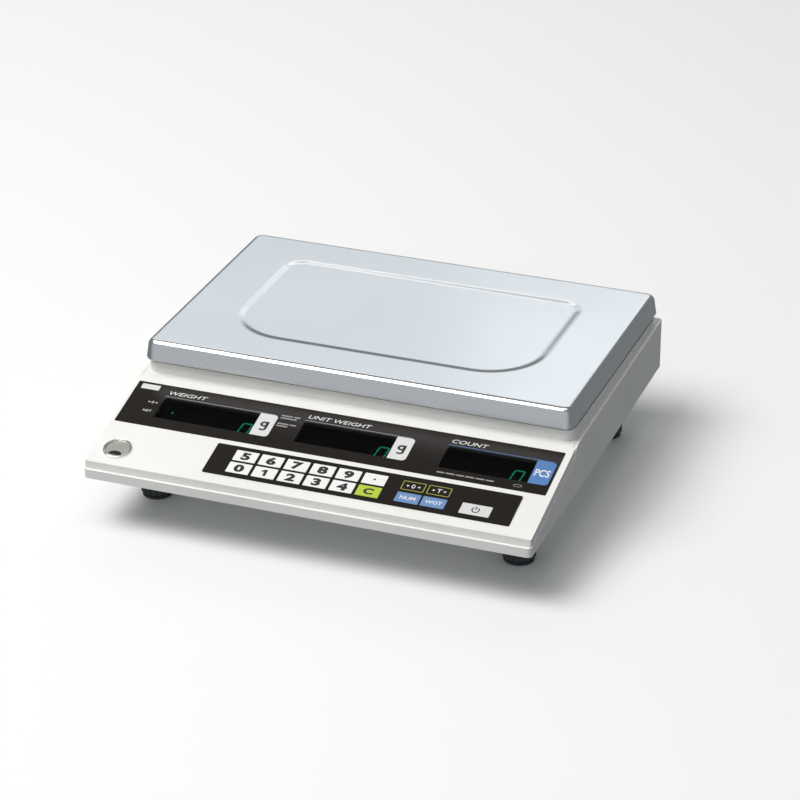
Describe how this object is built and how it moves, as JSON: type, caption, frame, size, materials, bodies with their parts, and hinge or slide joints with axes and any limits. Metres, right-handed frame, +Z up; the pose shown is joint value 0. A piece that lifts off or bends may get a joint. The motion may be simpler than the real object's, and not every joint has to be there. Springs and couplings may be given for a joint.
{
  "type": "counting scale",
  "caption": "Low bench counting scale with a pressed steel platter, sloped control panel with display windows and keys, bubble level and levelling feet.",
  "frame": {"origin": "centre of the footprint, on the bench surface that the feet stand on", "axes": "+X to the right along the control panel, +Y from the panel to the back, +Z up"},
  "size_m": [0.35, 0.325, 0.1066],
  "materials": {
    "housing_ivory": "fine satin moulded ABS",
    "steel_plate": "zinc-plated sheet",
    "alloy": "machined or cast",
    "black_screw": "black oxide",
    "stainless": "fine satin stainless steel",
    "rubber_black": "matte",
    "brass_fitting": "machined",
    "circuit_board": "solder mask",
    "display_black": "matte",
    "smoked_window": "smoked acrylic",
    "film_brown": "satin printed film",
    "switch_black": "matte",
    "zinc_screw": "zinc plated",
    "level_frame": "bright",
    "level_fluid": "clear acrylic with fluid",
    "battery_case": "matte",
    "cable_sheath": "satin",
    "ribbon_grey": "satin",
    "key_white": "satin printed film",
    "key_lime": "satin printed film",
    "key_dark": "satin printed film",
    "key_blue": "satin printed film",
    "key_silver": "satin printed film",
    "wheel_black": "matte"
  },
  "bodies": {
    "housing": {"base_housing": "housing_ivory", "top_cover": "housing_ivory", "chassis_plate": "steel_plate", "load_cell": "alloy", "cell_spacer": "alloy", "cell_bolts_fixed": "black_screw", "overload_stops": "brass_fitting", "main_board": "circuit_board", "display_board": "circuit_board", "display_weight": "display_black", "display_unit": "display_black", "display_count": "display_black", "window_weight": "smoked_window", "window_unit": "smoked_window", "window_count": "smoked_window", "display_overlay": "film_brown", "keypad_overlay": "film_brown", "keypad_board": "circuit_board", "tact_switches": "switch_black", "base_screws": "zinc_screw", "cover_screws": "zinc_screw", "level_ring": "level_frame", "level_vial": "level_fluid", "battery": "battery_case", "battery_cover": "housing_ivory", "battery_cover_screws": "zinc_screw", "dc_jack": "switch_black", "housing_screws": "zinc_screw", "foot_inserts": "brass_fitting", "load_cell_cable": "cable_sheath", "display_ribbon": "ribbon_grey"},
    "platform": {"platter_support": "alloy", "cell_bolts_live": "black_screw", "support_cushions": "rubber_black"},
    "platter": {"platter": "stainless"},
    "key_0": {"key_0": "key_white"},
    "key_1": {"key_1": "key_white"},
    "key_2": {"key_2": "key_white"},
    "key_3": {"key_3": "key_white"},
    "key_4": {"key_4": "key_white"},
    "key_5": {"key_5": "key_white"},
    "key_6": {"key_6": "key_white"},
    "key_7": {"key_7": "key_white"},
    "key_8": {"key_8": "key_white"},
    "key_9": {"key_9": "key_white"},
    "key_point": {"key_point": "key_white"},
    "key_clear": {"key_clear": "key_lime"},
    "key_zero": {"key_zero": "key_dark"},
    "key_tare": {"key_tare": "key_dark"},
    "key_number": {"key_number": "key_blue"},
    "key_weight": {"key_weight": "key_blue"},
    "key_power": {"key_power": "key_silver"},
    "foot_pad_front_left": {"foot_pad_front_left": "rubber_black"},
    "foot_wheel_front_left": {"foot_wheel_front_left": "wheel_black"},
    "foot_pad_front_right": {"foot_pad_front_right": "rubber_black"},
    "foot_wheel_front_right": {"foot_wheel_front_right": "wheel_black"},
    "foot_pad_rear_left": {"foot_pad_rear_left": "rubber_black"},
    "foot_wheel_rear_left": {"foot_wheel_rear_left": "wheel_black"},
    "foot_pad_rear_right": {"foot_pad_rear_right": "rubber_black"},
    "foot_wheel_rear_right": {"foot_wheel_rear_right": "wheel_black"}
  },
  "joints": [
    {"name": "platform_deflection", "type": "slide", "parent": "housing", "child": "platform", "axis": [0, 0, -1], "range_m": [0, 0.0004], "stiffness_N_per_m": 367880, "deforming": ["load_cell"]},
    {"name": "platter_lift_off", "type": "slide", "parent": "platform", "child": "platter", "axis": [0, 0, 1], "range_m": [0, 0.08]},
    {"name": "press_0", "type": "slide", "parent": "housing", "child": "key_0", "axis": [0, 0.2348, -0.972], "range_m": [0, 0.0004], "stiffness_N_per_m": 5000},
    {"name": "press_1", "type": "slide", "parent": "housing", "child": "key_1", "axis": [0, 0.2348, -0.972], "range_m": [0, 0.0004], "stiffness_N_per_m": 5000},
    {"name": "press_2", "type": "slide", "parent": "housing", "child": "key_2", "axis": [0, 0.2348, -0.972], "range_m": [0, 0.0004], "stiffness_N_per_m": 5000},
    {"name": "press_3", "type": "slide", "parent": "housing", "child": "key_3", "axis": [0, 0.2348, -0.972], "range_m": [0, 0.0004], "stiffness_N_per_m": 5000},
    {"name": "press_4", "type": "slide", "parent": "housing", "child": "key_4", "axis": [0, 0.2348, -0.972], "range_m": [0, 0.0004], "stiffness_N_per_m": 5000},
    {"name": "press_5", "type": "slide", "parent": "housing", "child": "key_5", "axis": [0, 0.2348, -0.972], "range_m": [0, 0.0004], "stiffness_N_per_m": 5000},
    {"name": "press_6", "type": "slide", "parent": "housing", "child": "key_6", "axis": [0, 0.2348, -0.972], "range_m": [0, 0.0004], "stiffness_N_per_m": 5000},
    {"name": "press_7", "type": "slide", "parent": "housing", "child": "key_7", "axis": [0, 0.2348, -0.972], "range_m": [0, 0.0004], "stiffness_N_per_m": 5000},
    {"name": "press_8", "type": "slide", "parent": "housing", "child": "key_8", "axis": [0, 0.2348, -0.972], "range_m": [0, 0.0004], "stiffness_N_per_m": 5000},
    {"name": "press_9", "type": "slide", "parent": "housing", "child": "key_9", "axis": [0, 0.2348, -0.972], "range_m": [0, 0.0004], "stiffness_N_per_m": 5000},
    {"name": "press_point", "type": "slide", "parent": "housing", "child": "key_point", "axis": [0, 0.2348, -0.972], "range_m": [0, 0.0004], "stiffness_N_per_m": 5000},
    {"name": "press_clear", "type": "slide", "parent": "housing", "child": "key_clear", "axis": [0, 0.2348, -0.972], "range_m": [0, 0.0004], "stiffness_N_per_m": 5000},
    {"name": "press_zero", "type": "slide", "parent": "housing", "child": "key_zero", "axis": [0, 0.2348, -0.972], "range_m": [0, 0.0004], "stiffness_N_per_m": 5000},
    {"name": "press_tare", "type": "slide", "parent": "housing", "child": "key_tare", "axis": [0, 0.2348, -0.972], "range_m": [0, 0.0004], "stiffness_N_per_m": 5000},
    {"name": "press_number", "type": "slide", "parent": "housing", "child": "key_number", "axis": [0, 0.2348, -0.972], "range_m": [0, 0.0004], "stiffness_N_per_m": 5000},
    {"name": "press_weight", "type": "slide", "parent": "housing", "child": "key_weight", "axis": [0, 0.2348, -0.972], "range_m": [0, 0.0004], "stiffness_N_per_m": 5000},
    {"name": "press_power", "type": "slide", "parent": "housing", "child": "key_power", "axis": [0, 0.2348, -0.972], "range_m": [0, 0.0004], "stiffness_N_per_m": 5000},
    {"name": "foot_height_front_left", "type": "slide", "parent": "housing", "child": "foot_pad_front_left", "axis": [0, 0, 1], "range_m": [0, 0.005]},
    {"name": "foot_turn_front_left", "type": "hinge", "parent": "foot_pad_front_left", "child": "foot_wheel_front_left", "pos_m": [-0.145, -0.098, 0], "axis": [0, 0, 1], "range_deg": [0, 1430]},
    {"name": "foot_height_front_right", "type": "slide", "parent": "housing", "child": "foot_pad_front_right", "axis": [0, 0, 1], "range_m": [0, 0.005]},
    {"name": "foot_turn_front_right", "type": "hinge", "parent": "foot_pad_front_right", "child": "foot_wheel_front_right", "pos_m": [0.145, -0.098, 0], "axis": [0, 0, 1], "range_deg": [0, 1430]},
    {"name": "foot_height_rear_left", "type": "slide", "parent": "housing", "child": "foot_pad_rear_left", "axis": [0, 0, 1], "range_m": [0, 0.005]},
    {"name": "foot_turn_rear_left", "type": "hinge", "parent": "foot_pad_rear_left", "child": "foot_wheel_rear_left", "pos_m": [-0.145, 0.116, 0], "axis": [0, 0, 1], "range_deg": [0, 1430]},
    {"name": "foot_height_rear_right", "type": "slide", "parent": "housing", "child": "foot_pad_rear_right", "axis": [0, 0, 1], "range_m": [0, 0.005]},
    {"name": "foot_turn_rear_right", "type": "hinge", "parent": "foot_pad_rear_right", "child": "foot_wheel_rear_right", "pos_m": [0.145, 0.116, 0], "axis": [0, 0, 1], "range_deg": [0, 1430]}
  ],
  "couplings": [
    {"joint": "foot_height_front_left", "follows": "foot_turn_front_left", "m_per_rad": 0.00019894},
    {"joint": "foot_height_front_right", "follows": "foot_turn_front_right", "m_per_rad": 0.00019894},
    {"joint": "foot_height_rear_left", "follows": "foot_turn_rear_left", "m_per_rad": 0.00019894},
    {"joint": "foot_height_rear_right", "follows": "foot_turn_rear_right", "m_per_rad": 0.00019894}
  ]
}
